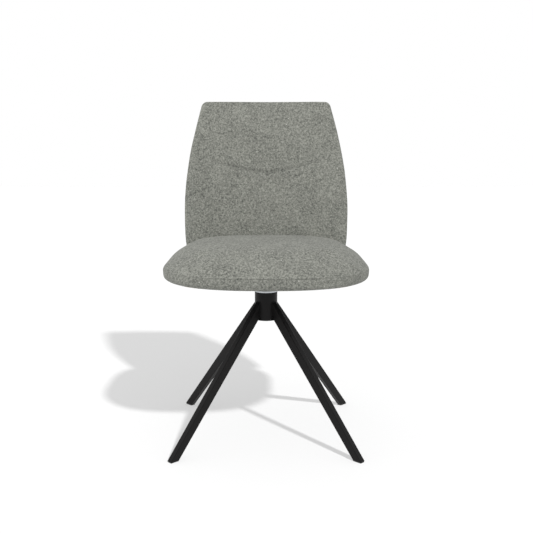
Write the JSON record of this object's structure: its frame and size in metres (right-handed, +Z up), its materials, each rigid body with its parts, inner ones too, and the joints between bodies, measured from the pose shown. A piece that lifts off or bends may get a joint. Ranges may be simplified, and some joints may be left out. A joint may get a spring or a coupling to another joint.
{
  "type": "swivel dining chair",
  "caption": "Upholstered dining chair that swivels freely on a central hub with slanting tapered steel legs, a crowned seat cushion and a leaning curved back.",
  "frame": {"origin": "on the floor, on the swivel axis, which is also the middle of the bounding box", "axes": "+Z up, +X to the right of someone who looks at the front of the chair, and the sitter faces -Y"},
  "size_m": [0.496, 0.5811, 0.851],
  "materials": {
    "frame_black": "satin black powder coat",
    "glide_black": "moulded black polyethylene",
    "bush_acetal": "turned natural acetal",
    "zinc_steel": "bright zinc plate",
    "spindle_steel": "turned steel, oiled black oxide",
    "bearing_steel": "ground hardened steel",
    "plywood": "raw birch plywood",
    "fabric_grey": "woven melange upholstery cloth, warm grey",
    "dust_cloth": "black non-woven lining cloth"
  },
  "bodies": {
    "base": {"hub_tube": "frame_black", "leg_front_left": "frame_black", "leg_front_right": "frame_black", "leg_rear_left": "frame_black", "leg_rear_right": "frame_black", "glide_front_left": "glide_black", "glide_front_right": "glide_black", "glide_rear_left": "glide_black", "glide_rear_right": "glide_black", "hub_cap": "glide_black", "bearing_housing": "zinc_steel", "upper_bush": "bush_acetal", "lower_bush": "bush_acetal", "bearing_lower_race": "bearing_steel"},
    "bearing_cage": {"roller_cage": "bush_acetal", "bearing_rollers": "bearing_steel"},
    "seat": {"bearing_upper_race": "bearing_steel", "dust_washer": "zinc_steel", "spindle": "spindle_steel", "thrust_washer": "zinc_steel", "circlip": "spindle_steel", "spindle_boss": "frame_black", "swivel_plate": "frame_black", "plate_washers": "zinc_steel", "plate_bolts": "zinc_steel", "plate_inserts": "zinc_steel", "seat_board": "plywood", "bracket_bolts": "zinc_steel", "bracket_inserts": "zinc_steel", "back_bracket_left": "frame_black", "back_bracket_right": "frame_black", "back_bolts": "zinc_steel", "back_inserts": "zinc_steel", "back_board": "plywood", "seat_cushion": "fabric_grey", "dust_cover": "dust_cloth", "back_cushion_front": "fabric_grey", "back_cushion_rear": "fabric_grey"}
  },
  "joints": [
    {"name": "seat_swivel", "type": "hinge", "parent": "base", "child": "seat", "pos_m": [0, 0, 0.3634], "axis": [0, 0, 1], "continuous": true},
    {"name": "cage_roll", "type": "hinge", "parent": "base", "child": "bearing_cage", "pos_m": [0, 0, 0.3634], "axis": [0, 0, 1], "continuous": true}
  ],
  "couplings": [
    {"joint": "cage_roll", "follows": "seat_swivel", "ratio": 0.5}
  ]
}
